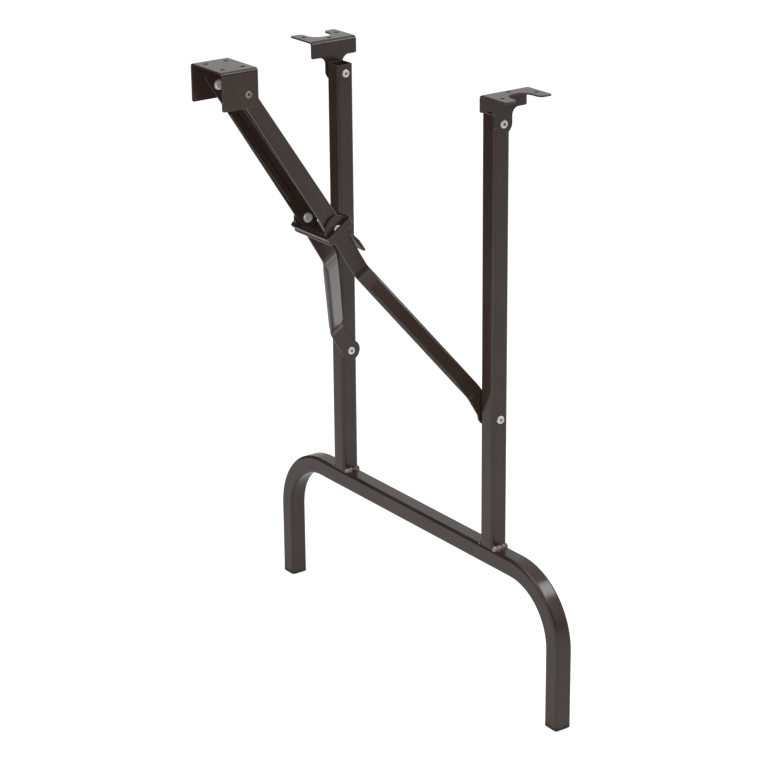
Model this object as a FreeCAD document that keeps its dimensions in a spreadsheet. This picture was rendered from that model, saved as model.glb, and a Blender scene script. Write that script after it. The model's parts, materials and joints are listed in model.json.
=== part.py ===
"""Folding table leg: a bent-tube leg frame, two hinge plates and a folding wishbone brace.

Sizes are in millimetres and degrees. X runs along the crossbar, Y across the table and Z up.
The origin lies midway between the two hinge plates, on the face that meets the table top.
"""
import FreeCAD
import Part
import Sketcher
import math
import operator
import os
from FreeCAD import Placement, Rotation, Vector

SIZES = {
    # Square tube of the leg frame
    "tube_side": 22.0,
    "tube_wall": 1.2,
    "tube_corner": 3.8,
    # Leg frame
    "leg_height": 714.0,
    "base_span": 552.0,
    "base_height": 181.5,
    "base_bend_radius": 76.0,
    "upright_spacing": 292.6,
    "upright_top_drop": 26.0,
    "weld_leg": 5.0,
    "cap_flange": 4.0,
    "cap_plug": 16.0,
    "cap_fit": 0.1,
    "cap_round": 1.5,
    # Sheet metal and its fits
    "sheet": 2.0,
    "bend_inside": 1.5,
    "sheet_corner": 2.0,
    "pivot_gap": 0.3,
    "running_fit": 0.05,
    "screw_hole": 5.2,
    # Hinge plates
    "hinge_width": 63.0,
    "hinge_reach": 45.0,
    "hinge_flange_depth": 20.0,
    "hinge_pivot_drop": 36.5,
    "hinge_ear_width": 24.0,
    "hinge_ear_fillet": 8.5,
    "hinge_notch_width": 30.0,
    "hinge_notch_depth": 25.5,
    "hinge_notch_corner": 13.0,
    "hinge_notch_round": 7.0,
    "hinge_tip_round": 3.0,
    "hinge_bend_inside": 2.5,
    "hinge_screw_spacing": 46.0,
    "hinge_screw_reach": 28.5,
    "hinge_middle_reach": 9.5,
    # Lower arms of the brace
    "brace_pivot_drop": 376.0,
    "arm_length": 251.4,
    "arm_lean": 31.0,
    "arm_width": 20.0,
    "arm_thick": 3.0,
    "arm_edge": 1.2,
    "arm_offset": 1.2,
    "arm_tube": 9.0,
    "arm_tube_corner": 4.2,
    "arm_head_radius": 15.7,
    "arm_foot_radius": 13.0,
    "arm_upper_flat": 62.0,
    "arm_lower_flat": 36.0,
    "arm_bend_radius": 14.0,
    "arm_taper_start": 6.0,
    "arm_taper": 16.0,
    "arm_stop_drop": 48.0,
    "arm_stop_radius": 3.2,
    "arm_stop_height": 1.2,
    "arm_stop_round": 0.8,
    # Upper channel of the brace
    "channel_length": 200.7,
    "channel_lean": 33.85,
    "channel_width": 57.0,
    "channel_back": 11.0,
    "channel_lip": 11.5,
    "channel_head_lip": 7.4,
    "channel_pivot_offset": 1.6,
    "channel_head": 21.0,
    "channel_toe": 11.5,
    "channel_toe_round": 9.0,
    "channel_head_round": 7.0,
    "rib_width": 7.0,
    "rib_depth": 1.2,
    "rib_corner": 3.3,
    "rib_offset": 4.2,
    "rib_start": 31.0,
    "rib_end": 164.0,
    "tongue_width": 81.0,
    "tongue_shoulder": 23.0,
    "tongue_reach": 41.5,
    "tongue_corner": 3.0,
    # Bracket at the top of the brace
    "bracket_depth": 45.0,
    "bracket_height": 42.0,
    "bracket_pivot_drop": 27.0,
    "bracket_pivot_inset": 32.0,
    "bracket_screws_across": 33.0,
    "bracket_screws_along": 25.0,
    # Lock ring
    "ring_height": 10.0,
    "ring_strip": 3.0,
    "ring_drop": 2.0,
    "ring_side_gap": 0.6,
    "ring_corner": 1.5,
    # Rivets: shank radius, formed heads and the slack under them
    "rivet_shank": 3.2,
    "rivet_head": 6.0,
    "rivet_head_height": 2.4,
    "rivet_clinch": 4.8,
    "rivet_clinch_height": 1.9,
    "rivet_dimple": 2.0,
    "rivet_dimple_depth": 1.6,
    "rivet_slack": 0.1,
}

doc = FreeCAD.newDocument("FoldingTableLeg")


class Size:
    """A dimension: its present value and the sheet expression that drives it."""

    def __init__(self, value, text):
        self.value = float(value)
        self.text = text

    def join(self, symbol, function, other):
        other = as_size(other)
        return Size(function(self.value, other.value), f"({self.text} {symbol} {other.text})")

    def __add__(self, other):
        return self.join("+", operator.add, other)

    def __sub__(self, other):
        return self.join("-", operator.sub, other)

    def __mul__(self, other):
        return self.join("*", operator.mul, other)

    def __truediv__(self, other):
        return self.join("/", operator.truediv, other)

    def __neg__(self):
        return NONE - self


def as_size(number):
    return number if isinstance(number, Size) else Size(number, repr(float(number)))


def sin(angle):
    return Size(math.sin(math.radians(angle.value)), f"sin({angle.text})")


def cos(angle):
    return Size(math.cos(math.radians(angle.value)), f"cos({angle.text})")


def arctan(ratio):
    return Size(math.degrees(math.atan(ratio.value)), f"atan({ratio.text})")


NONE = as_size(0)


class SizeSheet:
    """The sheet of driving dimensions. Each one is read as an attribute of this object."""

    def __init__(self, sizes):
        self.cells = doc.addObject("Spreadsheet::Sheet", "Sizes")
        for row, (name, number) in enumerate(sizes.items(), start=1):
            self.cells.set(f"A{row}", name)
            self.cells.set(f"B{row}", str(number))
            self.cells.setAlias(f"B{row}", name)
        doc.recompute()

    def __getattr__(self, name):
        return Size(self.cells.get(name), f"Sizes.{name}")


S = SizeSheet(SIZES)


def pin_point(sketch, geometry, point, x, y):
    """Hold one point of a sketch at a driven distance from the sketch's origin."""
    for kind, size in (("DistanceX", x), ("DistanceY", y)):
        index = sketch.addConstraint(Sketcher.Constraint(kind, -1, 1, geometry, point, size.value))
        sketch.setExpression(f"Constraints[{index}]", size.text)


def pin_radius(sketch, geometry, radius):
    index = sketch.addConstraint(Sketcher.Constraint("Radius", geometry, radius.value))
    sketch.setExpression(f"Constraints[{index}]", radius.text)


def draw_circle(sketch, x, y, radius):
    circle = Part.Circle(Vector(x.value, y.value, 0), Vector(0, 0, 1), radius.value)
    geometry = sketch.addGeometry(circle)
    pin_point(sketch, geometry, 3, x, y)
    pin_radius(sketch, geometry, radius)


def corner_arc(before, corner, after, radius):
    """Return the arc that rounds a corner, where it starts and ends, and whether it runs forwards."""
    back = (before - corner).normalize()
    ahead = (after - corner).normalize()
    half = back.getAngle(ahead) / 2
    start = corner + back * (radius / math.tan(half))
    end = corner + ahead * (radius / math.tan(half))
    centre = corner + (back + ahead).normalize() * (radius / math.sin(half))
    forwards = back.cross(ahead).z < 0
    first, last = (start, end) if forwards else (end, start)
    angles = [math.atan2((spot - centre).y, (spot - centre).x) for spot in (first, last)]
    arc = Part.ArcOfCircle(Part.Circle(centre, Vector(0, 0, 1), radius), *angles)
    return arc, start, end, forwards


def draw_outline(sketch, corners, closed=True):
    """Draw straight sides through driven corners (x, y, optional radius) and round those with a radius."""
    spots = [Vector(corner[0].value, corner[1].value, 0) for corner in corners]
    radii = [corner[2] if len(corner) > 2 else None for corner in corners]
    count = len(corners)
    points, arcs, starts, ends = [], [], list(spots), list(spots)
    for index, corner in enumerate(corners):
        point = sketch.addGeometry(Part.Point(spots[index]), True)
        pin_point(sketch, point, 1, corner[0], corner[1])
        points.append(point)
        arcs.append(None)
        if radii[index]:
            arc, ends[index], starts[index], forwards = corner_arc(
                spots[index - 1], spots[index], spots[(index + 1) % count], radii[index].value)
            arcs[index] = (sketch.addGeometry(arc), forwards)
    for index in range(count if closed else count - 1):
        after = (index + 1) % count
        side = sketch.addGeometry(Part.LineSegment(starts[index], ends[after]))
        for end_point, corner in ((1, index), (2, after)):
            if arcs[corner]:
                arc, forwards = arcs[corner]
                arc_point = 2 if (end_point == 1) == forwards else 1
                sketch.addConstraint(Sketcher.Constraint("PointOnObject", points[corner], 1, side))
                sketch.addConstraint(Sketcher.Constraint("Tangent", side, end_point, arc, arc_point))
            else:
                sketch.addConstraint(Sketcher.Constraint("Coincident", side, end_point, points[corner], 1))
    for index, arc in enumerate(arcs):
        if arc:
            pin_radius(sketch, arc[0], radii[index])


def draw_box(sketch, x, y, width, height, radius=None):
    """Draw a rectangle about a centre, with rounded corners where a radius is given."""
    left, right = x - width / 2, x + width / 2
    low, high = y - height / 2, y + height / 2
    corners = [(left, low), (right, low), (right, high), (left, high)]
    draw_outline(sketch, [corner + ((radius,) if radius else ()) for corner in corners])


class Piece:
    """One sub-part: a body whose features are driven by the sheet."""

    def __init__(self, label):
        self.body = doc.addObject("PartDesign::Body", label)
        self.body.Label = label

    def add(self, kind, name):
        return self.body.newObject(kind, f"{self.body.Name}_{name}")

    def sketch(self, name, role, offset=NONE):
        """Start a sketch on an origin plane, moved along that plane's normal."""
        sketch = self.add("Sketcher::SketchObject", name)
        plane = next(item for item in self.body.Origin.OriginFeatures if item.Role == role)
        sketch.AttachmentSupport = [(plane, "")]
        sketch.MapMode = "FlatFace"
        sketch.setExpression("AttachmentOffset.Base.z", offset.text)
        return sketch

    def pad(self, name, sketch, length, both_ways=False, backwards=False):
        pad = self.add("PartDesign::Pad", name)
        pad.Profile = sketch
        pad.setExpression("Length", length.text)
        pad.SideType = "Symmetric" if both_ways else "One side"
        pad.Reversed = backwards
        return pad

    def cut(self, name, sketch, depth=None, backwards=False):
        """Cut into the sheet by a depth, or right through both ways when none is given."""
        before = self.solid().Volume
        cut = self.add("PartDesign::Pocket", name)
        cut.Profile = sketch
        if depth is None:
            cut.Type = "ThroughAll"
            cut.SideType = "Symmetric"
        else:
            cut.setExpression("Length", depth.text)
        cut.Reversed = backwards
        if self.solid().Volume >= before:
            raise RuntimeError(f"{self.body.Label}: {name} removed nothing")
        return cut

    def drill(self, name, role, holes, radius):
        """Drill round holes right through, square to an origin plane."""
        sketch = self.sketch(f"{name}_centres", role)
        for x, y in holes:
            draw_circle(sketch, x, y, radius)
        return self.cut(name, sketch)

    def fillet(self, name, radius, wanted):
        """Round the edges whose middle point the test accepts."""
        base = self.body.Tip
        edges = [f"Edge{index}" for index, edge in enumerate(self.solid().Edges, start=1)
                 if wanted(edge.valueAt((edge.FirstParameter + edge.LastParameter) / 2), edge)]
        if not edges:
            raise RuntimeError(f"{self.body.Label}: {name} found no edge")
        fillet = self.add("PartDesign::Fillet", name)
        fillet.Base = (base, edges)
        fillet.setExpression("Radius", radius.text)
        return fillet

    def solid(self):
        """Return the shape so far, in the body's own frame."""
        doc.recompute()
        return self.body.Tip.Shape

    def place(self, x=NONE, y=NONE, z=NONE, lean=NONE):
        """Set the body at a point, leaning about the X axis."""
        self.body.Placement = Placement(Vector(), Rotation(Vector(1, 0, 0), 1))
        for axis, size in (("x", x), ("y", y), ("z", z)):
            self.body.setExpression(f"Placement.Base.{axis}", size.text)
        self.body.setExpression("Placement.Rotation.Angle", lean.text)


def near(value, size):
    return abs(value - size.value) < 0.01


def mirror(label, source):
    """Return the left-hand copy of a right-hand piece."""
    copy = doc.addObject("Part::Mirroring", label)
    copy.Label = label
    copy.Source = source
    copy.Normal = Vector(1, 0, 0)
    return copy


# Places that several pieces share
upright_x = S.upright_spacing / 2
upright_inner = upright_x - S.tube_side / 2
upright_outer = upright_x + S.tube_side / 2
foot_x = S.base_span / 2 - S.tube_side / 2
floor_z = -S.leg_height
crossbar_top = floor_z + S.base_height
hinge_z = -S.hinge_pivot_drop
arm_pivot_z = -S.brace_pivot_drop
knuckle_y = -(S.arm_length * sin(S.arm_lean))
knuckle_z = arm_pivot_z + S.arm_length * cos(S.arm_lean)
bracket_y = knuckle_y - S.channel_length * sin(S.channel_lean) + S.channel_pivot_offset * cos(S.channel_lean)
bracket_z = knuckle_z + S.channel_length * cos(S.channel_lean) + S.channel_pivot_offset * sin(S.channel_lean)
bend_outside = S.bend_inside + S.sheet
tube_bore = S.tube_side - S.tube_wall * 2
tube_bore_corner = S.tube_corner - S.tube_wall
rivet_hole = S.rivet_shank + S.running_fit
screw_radius = S.screw_hole / 2
hinge_face = upright_outer + S.pivot_gap
channel_half = S.channel_width / 2
arm_upper_x = channel_half + S.pivot_gap + S.arm_thick / 2
arm_lower_x = upright_inner - S.pivot_gap - S.arm_thick / 2
bracket_half = channel_half + S.pivot_gap + S.sheet


def make_base_tube():
    """Square tube bent to a wide upside-down U, open at both ends."""
    piece = Piece("base_tube")
    end_z = floor_z + S.cap_flange
    crossbar_z = crossbar_top - S.tube_side / 2
    path = piece.sketch("path", "XZ_Plane")
    bends = [(-foot_x, crossbar_z, S.base_bend_radius), (foot_x, crossbar_z, S.base_bend_radius)]
    draw_outline(path, [(-foot_x, end_z), *bends, (foot_x, end_z)], closed=False)
    section = piece.sketch("section", "XY_Plane", end_z)
    draw_box(section, -foot_x, NONE, S.tube_side, S.tube_side, S.tube_corner)
    draw_box(section, -foot_x, NONE, tube_bore, tube_bore, tube_bore_corner)
    sweep = piece.add("PartDesign::AdditivePipe", "sweep")
    sweep.Profile = section
    sweep.Spine = path
    return piece.body


def make_upright():
    """Square tube standing on the crossbar, with cross holes for the two rivets."""
    piece = Piece("right_upright")
    section = piece.sketch("section", "XY_Plane", crossbar_top)
    draw_box(section, upright_x, NONE, S.tube_side, S.tube_side, S.tube_corner)
    draw_box(section, upright_x, NONE, tube_bore, tube_bore, tube_bore_corner)
    piece.pad("tube", section, -S.upright_top_drop - crossbar_top)
    piece.drill("rivet_holes", "YZ_Plane", [(NONE, hinge_z), (NONE, arm_pivot_z)], rivet_hole)
    return piece.body


def make_weld():
    """Two fillet beads that join an upright to the flat of the crossbar."""
    beads = []
    for name, face, way in (("outer", upright_outer, 1), ("inner", upright_inner, -1)):
        piece = Piece(f"right_weld_{name}")
        section = piece.sketch("section", "XZ_Plane")
        crown = S.weld_leg * 0.8
        draw_outline(section, [
            (face, crossbar_top),
            (face + S.weld_leg * way, crossbar_top),
            (face + crown * way, crossbar_top + crown, S.weld_leg * 0.6),
            (face, crossbar_top + S.weld_leg)])
        piece.pad("bead", section, S.tube_side - S.tube_corner * 2, both_ways=True)
        beads.append(piece.body)
    weld = doc.addObject("Part::Compound", "right_weld")
    weld.Label = "right_weld"
    weld.Links = beads
    return weld


def make_foot_cap():
    """Plastic plug with a flange as wide as the tube."""
    piece = Piece("right_foot_cap")
    flange = piece.sketch("flange_outline", "XY_Plane", floor_z)
    draw_box(flange, foot_x, NONE, S.tube_side, S.tube_side, S.tube_corner)
    piece.pad("flange", flange, S.cap_flange)
    plug = piece.sketch("plug_outline", "XY_Plane", floor_z + S.cap_flange)
    plug_side = tube_bore - S.cap_fit * 2
    draw_box(plug, foot_x, NONE, plug_side, plug_side, tube_bore_corner)
    piece.pad("plug", plug, S.cap_plug)
    piece.fillet("tread_round", S.cap_round, lambda middle, edge: near(middle.z, floor_z))
    return piece.body


def make_hinge_bracket():
    """Folded plate: a notched flange under the table and an ear on the upright's outer face."""
    piece = Piece("right_hinge_bracket")
    back = hinge_face + S.sheet
    tip = hinge_face + S.hinge_reach
    half = S.hinge_width / 2
    fold = piece.sketch("fold", "XZ_Plane")
    draw_outline(fold, [
        (hinge_face, hinge_z), (back, hinge_z), (back, -S.sheet, S.hinge_bend_inside),
        (tip, -S.sheet), (tip, NONE), (hinge_face, NONE, S.hinge_bend_inside + S.sheet)])
    piece.pad("sheet", fold, S.hinge_width, both_ways=True)
    ear = S.hinge_ear_width / 2
    waste = piece.sketch("ear_sides", "YZ_Plane")
    for way in (1, -1):
        draw_outline(waste, [
            (ear * way, -S.hinge_flange_depth, S.hinge_ear_fillet),
            (S.hinge_width * way, -S.hinge_flange_depth),
            (S.hinge_width * way, hinge_z * 2),
            (ear * way, hinge_z * 2)])
    piece.cut("ear_shape", waste)
    eye = piece.sketch("ear_end", "YZ_Plane", hinge_face)
    draw_circle(eye, NONE, hinge_z, ear)
    piece.pad("ear_eye", eye, S.sheet)
    notch = piece.sketch("notch_outline", "XY_Plane")
    notch_half = S.hinge_notch_width / 2
    notch_floor = tip - S.hinge_notch_depth
    draw_outline(notch, [
        (notch_floor, -notch_half, S.hinge_notch_corner), (tip + S.sheet, -notch_half),
        (tip + S.sheet, notch_half), (notch_floor, notch_half, S.hinge_notch_corner)])
    piece.cut("notch", notch)
    screw_x = hinge_face + S.hinge_screw_reach
    screw_y = S.hinge_screw_spacing / 2
    middle_x = hinge_face + S.hinge_middle_reach
    screws = [(screw_x, screw_y), (screw_x, -screw_y), (middle_x, NONE)]
    piece.drill("screw_holes", "XY_Plane", screws, screw_radius)
    piece.drill("rivet_hole", "YZ_Plane", [(NONE, hinge_z)], rivet_hole)
    for name, radius, place in (("tip_round", S.hinge_tip_round, half),
                                ("notch_round", S.hinge_notch_round, notch_half)):
        piece.fillet(name, radius, lambda middle, edge: near(middle.x, tip)
                     and near(abs(middle.y), place) and near(middle.z, -S.sheet / 2))
    piece.fillet("flange_round", S.sheet_corner,
                 lambda middle, edge: near(middle.x, hinge_face + S.sheet / 2)
                 and near(abs(middle.y), half) and near(middle.z, -S.hinge_flange_depth))
    return piece.body


def make_arm():
    """Lower arm: a tube pressed flat at both ends, splayed from the channel to the upright."""
    piece = Piece("right_arm")
    middle_y = -S.arm_offset
    splay_height = S.arm_length - S.arm_upper_flat - S.arm_lower_flat
    splay = arctan((arm_lower_x - arm_upper_x) / splay_height)
    splay_length = splay_height / cos(splay)

    def on_splay(along):
        return arm_upper_x + along * sin(splay), -S.arm_upper_flat - along * cos(splay)

    flat = (S.arm_thick, S.arm_width, S.arm_edge)
    tube = (S.arm_tube, S.arm_width, S.arm_tube_corner)
    tube_start = S.arm_taper_start + S.arm_taper
    stations = [(S.arm_taper_start, flat), (tube_start, tube), (splay_length - tube_start, tube),
                (splay_length - S.arm_taper_start, flat)]
    rings = []
    for index, (along, (thick, width, corner)) in enumerate(stations):
        x, z = on_splay(along)
        ring = piece.sketch(f"ring_{index}", "XY_Plane", z)
        ring.AttachmentOffset = Placement(Vector(), Rotation(Vector(0, -1, 0), 1))
        ring.setExpression("AttachmentOffset.Rotation.Angle", splay.text)
        ring.setExpression("AttachmentOffset.Base.x", x.text)
        draw_box(ring, NONE, middle_y, thick, width, corner)
        rings.append(ring)
    barrel = piece.add("PartDesign::AdditiveLoft", "barrel")
    barrel.Profile = rings[0]
    barrel.Sections = rings[1:]
    barrel.Ruled = True
    lower_bend = S.arm_lower_flat - S.arm_length
    for name, x, end_z, bend_z, along, radius in (
            ("head", arm_upper_x, NONE, -S.arm_upper_flat, S.arm_taper_start, S.arm_head_radius),
            ("foot", arm_lower_x, -S.arm_length, lower_bend, splay_length - S.arm_taper_start,
             S.arm_foot_radius)):
        path = piece.sketch(f"{name}_path", "XZ_Plane")
        draw_outline(path, [(x, end_z), (x, bend_z, S.arm_bend_radius), on_splay(along)], closed=False)
        section = piece.sketch(f"{name}_section", "XY_Plane", end_z)
        draw_box(section, x, middle_y, *flat)
        strap = piece.add("PartDesign::AdditivePipe", f"{name}_strap")
        strap.Profile = section
        strap.Spine = path
        outline = piece.sketch(f"{name}_outline", "YZ_Plane", x - S.arm_thick / 2)
        draw_circle(outline, NONE, end_z, radius)
        piece.pad(name, outline, S.arm_thick)
    outer_face = arm_upper_x + S.arm_thick / 2
    stop = piece.sketch("stop_outline", "YZ_Plane", outer_face)
    draw_circle(stop, middle_y, -S.arm_stop_drop, S.arm_stop_radius)
    piece.pad("ring_stop", stop, S.arm_stop_height)
    piece.fillet("stop_round", S.arm_stop_round,
                 lambda middle, edge: near(middle.x, outer_face + S.arm_stop_height))
    piece.drill("rivet_holes", "YZ_Plane", [(NONE, NONE), (NONE, -S.arm_length)], rivet_hole)
    piece.place(y=knuckle_y, z=knuckle_z, lean=S.arm_lean)
    return piece.body


def make_channel():
    """Upper half of the brace: a pressed channel, open outwards, with a T-shaped stop tongue."""
    piece = Piece("brace_channel")
    back, lip, toe = S.channel_back, -S.channel_lip, -S.channel_toe
    inside = channel_half - S.sheet
    web_inside = back - S.sheet
    top = S.channel_length + S.channel_head
    section = piece.sketch("section", "XY_Plane", toe)
    draw_outline(section, [
        (-channel_half, lip), (-inside, lip), (-inside, web_inside, S.bend_inside),
        (inside, web_inside, S.bend_inside), (inside, lip), (channel_half, lip),
        (channel_half, back, bend_outside), (-channel_half, back, bend_outside)])
    piece.pad("walls", section, top - toe)
    beyond = S.channel_toe
    waste = piece.sketch("wall_edges", "YZ_Plane")
    draw_outline(waste, [
        (NONE, toe), (lip, toe, S.channel_toe_round), (-S.channel_head_lip, top, S.channel_head_round),
        (NONE, top), (NONE, top + beyond), (lip - beyond, top + beyond), (lip - beyond, toe - beyond),
        (NONE, toe - beyond)])
    piece.cut("wall_shape", waste)
    neck = piece.sketch("neck_outline", "XZ_Plane", -back)
    neck_height = S.tongue_shoulder - S.channel_toe + S.sheet * 2
    neck_z = -(S.tongue_shoulder + S.channel_toe) / 2
    draw_box(neck, NONE, neck_z, S.channel_width - bend_outside * 2, neck_height)
    piece.pad("tongue_neck", neck, S.sheet)
    tongue = piece.sketch("tongue_outline", "XZ_Plane", -back)
    draw_box(tongue, NONE, -(S.tongue_shoulder + S.tongue_reach) / 2, S.tongue_width,
             S.tongue_reach - S.tongue_shoulder, S.tongue_corner)
    piece.pad("tongue", tongue, S.sheet)
    rib_middle = (S.rib_start + S.rib_end) / 2
    rib_length = S.rib_end - S.rib_start
    for name, way in (("right", 1), ("left", -1)):
        ridge = piece.sketch(f"{name}_ridge_outline", "YZ_Plane", inside * way)
        draw_box(ridge, -S.rib_offset, rib_middle, S.rib_width, rib_length, S.rib_corner)
        piece.pad(f"{name}_ridge", ridge, S.rib_depth, backwards=way > 0)
        groove = piece.sketch(f"{name}_groove_outline", "YZ_Plane", channel_half * way)
        draw_box(groove, -S.rib_offset, rib_middle, S.rib_width, rib_length, S.rib_corner)
        piece.cut(f"{name}_groove", groove, S.rib_depth, backwards=way < 0)
    piece.drill("rivet_holes", "YZ_Plane", [(NONE, NONE), (S.channel_pivot_offset, S.channel_length)],
                rivet_hole)
    piece.place(y=knuckle_y, z=knuckle_z, lean=S.channel_lean)
    return piece.body


def make_brace_bracket():
    """Folded U bracket that screws under the table and straddles the channel's top."""
    piece = Piece("brace_bracket")
    inside = bracket_half - S.sheet
    top = S.bracket_pivot_drop
    under = top - S.sheet
    bottom = top - S.bracket_height
    fold = piece.sketch("fold", "XZ_Plane", S.bracket_pivot_inset)
    draw_outline(fold, [
        (-bracket_half, bottom), (-inside, bottom), (-inside, under, S.bend_inside),
        (inside, under, S.bend_inside), (inside, bottom), (bracket_half, bottom),
        (bracket_half, top, bend_outside), (-bracket_half, top, bend_outside)])
    piece.pad("sheet", fold, S.bracket_depth, backwards=True)
    middle_y = S.bracket_depth / 2 - S.bracket_pivot_inset
    across, along = S.bracket_screws_across / 2, S.bracket_screws_along / 2
    screws = [(across * i, middle_y + along * j) for i in (1, -1) for j in (1, -1)]
    piece.drill("screw_holes", "XY_Plane", screws, screw_radius)
    piece.drill("rivet_holes", "YZ_Plane", [(NONE, NONE)], rivet_hole)
    piece.fillet("flange_round", S.sheet_corner,
                 lambda middle, edge: near(middle.z, bottom) and near(edge.Length, S.sheet))
    piece.place(y=bracket_y, z=bracket_z)
    return piece.body


def make_lock_ring():
    """Strip bent to a closed loop round the channel and the heads of the arms."""
    piece = Piece("lock_ring")
    window_x = (arm_upper_x + S.arm_thick / 2 + S.rivet_slack + S.rivet_clinch_height + S.ring_side_gap) * 2
    window_y = (S.arm_head_radius + S.pivot_gap) * 2
    outline = piece.sketch("outline", "XY_Plane", -S.ring_drop - S.ring_height / 2)
    draw_box(outline, NONE, NONE, window_x + S.ring_strip * 2, window_y + S.ring_strip * 2,
             S.ring_corner + S.ring_strip)
    draw_box(outline, NONE, NONE, window_x, window_y, S.ring_corner)
    piece.pad("strip", outline, S.ring_height)
    piece.place(y=knuckle_y, z=knuckle_z, lean=S.channel_lean)
    return piece.body


def make_rivet(label, start, grip, y, z):
    """Rivet along X: a button head before its start, a clinched ring with a dimple after its grip."""
    piece = Piece(label)
    head, clinch = S.rivet_head, S.rivet_clinch
    end = grip + S.rivet_slack
    face = end + S.rivet_clinch_height
    profile = piece.sketch("profile", "XY_Plane")
    draw_outline(profile, [
        (-S.rivet_slack - S.rivet_head_height, NONE),
        (-S.rivet_slack - S.rivet_head_height, head * 0.85, head * 0.25),
        (-S.rivet_slack, head),
        (-S.rivet_slack, S.rivet_shank),
        (end, S.rivet_shank),
        (end, clinch),
        (face, clinch * 0.9, clinch * 0.2),
        (face, S.rivet_dimple),
        (face - S.rivet_dimple_depth, NONE)])
    turn = piece.add("PartDesign::Revolution", "turn")
    turn.Profile = profile
    turn.ReferenceAxis = (profile, ["H_Axis"])
    turn.Angle = 360.0
    piece.place(x=start, y=y, z=z)
    return piece.body


def make_rivets():
    """Long rivets clinch towards +X on both sides, and short ones clinch on the outer faces."""
    hinge_grip = S.tube_side + S.pivot_gap + S.sheet
    arm_foot_face = arm_lower_x - S.arm_thick / 2
    arm_grip = upright_outer - arm_foot_face
    wall_inside = channel_half - S.sheet
    knuckle_grip = S.sheet + S.pivot_gap + S.arm_thick
    bracket_grip = S.sheet * 2 + S.pivot_gap
    knuckle = make_rivet("right_knuckle_rivet", wall_inside, knuckle_grip, knuckle_y, knuckle_z)
    bracket = make_rivet("right_bracket_rivet", wall_inside, bracket_grip, bracket_y, bracket_z)
    return [
        make_rivet("right_hinge_rivet", upright_inner, hinge_grip, NONE, hinge_z),
        make_rivet("left_hinge_rivet", -upright_inner - hinge_grip, hinge_grip, NONE, hinge_z),
        make_rivet("right_arm_rivet", arm_foot_face, arm_grip, NONE, arm_pivot_z),
        make_rivet("left_arm_rivet", -arm_foot_face - arm_grip, arm_grip, NONE, arm_pivot_z),
        knuckle, mirror("left_knuckle_rivet", knuckle),
        bracket, mirror("left_bracket_rivet", bracket)]


def check(pieces):
    """Stop if any object failed to compute or any piece is not a sound solid."""
    for item in doc.Objects:
        if "Invalid" in item.State or "Error" in item.State:
            raise RuntimeError(f"{item.Label} failed: {item.State}")
    for piece in pieces:
        shape = piece.Shape
        if shape.isNull() or not shape.isValid() or not shape.Solids or shape.Volume <= 0:
            raise RuntimeError(f"{piece.Label} has no valid solid")


def main():
    pieces = [make_base_tube(), make_channel(), make_brace_bracket(), make_lock_ring(), *make_rivets()]
    for make in (make_upright, make_weld, make_foot_cap, make_hinge_bracket, make_arm):
        right = make()
        pieces += [right, mirror("left" + right.Label.removeprefix("right"), right)]
    doc.recompute()
    check(pieces)
    os.makedirs("parts", exist_ok=True)
    for piece in pieces:
        piece.Shape.exportStep(f"parts/{piece.Label}.step")


main()
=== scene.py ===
"""Looks of a folding table leg with a wishbone brace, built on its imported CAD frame.

The CAD solids carry the shape. This script rounds their edges, lays weld ripples at the feet of the
uprights, rolls a groove round the lock ring, adds the shoulders of the stop tongue, gives every piece its
finish and sets up the studio. Sizes are in metres, in the frame of the CAD part.
"""

import json
import logging
import math
from collections.abc import Iterable
from dataclasses import dataclass
from enum import Enum
from typing import NamedTuple

import bmesh
import bpy
from mathutils import Matrix, Vector


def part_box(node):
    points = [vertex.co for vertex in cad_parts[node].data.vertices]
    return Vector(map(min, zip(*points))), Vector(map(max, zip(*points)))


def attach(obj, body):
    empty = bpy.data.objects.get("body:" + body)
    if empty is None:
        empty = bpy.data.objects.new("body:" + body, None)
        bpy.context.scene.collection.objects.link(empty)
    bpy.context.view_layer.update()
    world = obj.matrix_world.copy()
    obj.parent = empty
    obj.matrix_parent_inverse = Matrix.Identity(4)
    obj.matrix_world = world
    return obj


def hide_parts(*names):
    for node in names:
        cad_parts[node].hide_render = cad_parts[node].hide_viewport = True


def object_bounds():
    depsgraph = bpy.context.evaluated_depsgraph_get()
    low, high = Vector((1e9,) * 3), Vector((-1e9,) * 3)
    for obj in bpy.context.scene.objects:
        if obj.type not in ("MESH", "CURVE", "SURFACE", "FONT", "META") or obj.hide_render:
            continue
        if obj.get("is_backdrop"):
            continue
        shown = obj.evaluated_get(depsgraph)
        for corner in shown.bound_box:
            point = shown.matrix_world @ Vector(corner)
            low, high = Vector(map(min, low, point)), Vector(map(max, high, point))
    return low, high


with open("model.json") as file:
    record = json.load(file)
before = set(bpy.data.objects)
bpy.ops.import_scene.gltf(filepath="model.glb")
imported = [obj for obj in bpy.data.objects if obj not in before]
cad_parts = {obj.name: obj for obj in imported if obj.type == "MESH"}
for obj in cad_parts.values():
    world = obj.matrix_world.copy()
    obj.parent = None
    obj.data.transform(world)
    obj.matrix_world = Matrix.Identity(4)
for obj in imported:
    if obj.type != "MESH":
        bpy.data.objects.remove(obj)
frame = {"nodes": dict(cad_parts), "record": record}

LOG = logging.getLogger("table_leg")
MM = 0.001

# Numbers that a piece carries on its own mesh for its finish to read.
EDGE_ATTRIBUTE = "edge_thinning"
# Painted shade round the pressed stop on the arms.
PAINTED_SHADE_ATTRIBUTE = "coat_pooling"
# Painted shade in the dimples of the rivets' clinched ends.
DIMPLE_ATTRIBUTE = "dimple_shade"
OVERSPRAY_ATTRIBUTE = "coat_overspray"

Colour = tuple[float, float, float, float]
Place = tuple[float, float, float]
Span = tuple[float, float]
Socket = bpy.types.NodeSocket

WHITE: Colour = (1.0, 1.0, 1.0, 1.0)
WHOLE: Span = (0.0, 1.0)
# Where most values of a noise pattern lie.
NOISE_SPAN: Span = (0.3, 0.7)


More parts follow.
